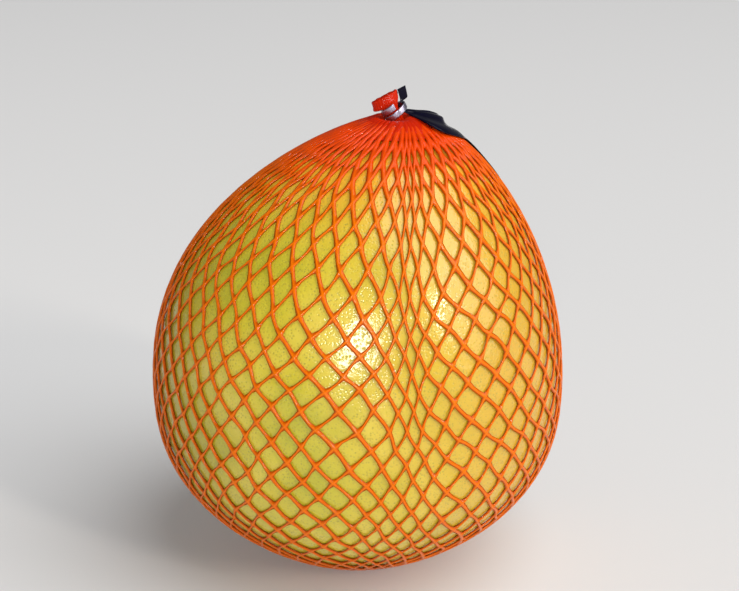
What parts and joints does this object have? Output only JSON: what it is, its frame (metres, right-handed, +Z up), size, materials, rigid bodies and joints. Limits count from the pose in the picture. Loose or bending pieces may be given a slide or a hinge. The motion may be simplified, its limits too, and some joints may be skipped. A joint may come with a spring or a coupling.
{
  "type": "netted pomelo",
  "caption": "Whole pear-shaped pomelo in a stretched sleeve of diamond net, gathered and clipped at the top with a plain dark film strip that runs down its back.",
  "frame": {"origin": "middle of the flat button that the part stands on, level with the floor", "axes": "+Z up through the fruit, -Y towards the pictured side, +X to the picture's right, where the neck of the net leans over"},
  "size_m": [0.1443, 0.1449, 0.1688],
  "materials": {
    "rind": "waxed citrus peel, yellow-green, fine oil glands",
    "net": "glossy translucent orange polyethylene net",
    "clip": "drawn flat wire, satin",
    "film": "plain near-black glossy film"
  },
  "bodies": {
    "root": {"pomelo": "rind", "net": "net", "clip": "clip", "label_strip": "film"}
  },
  "joints": []
}
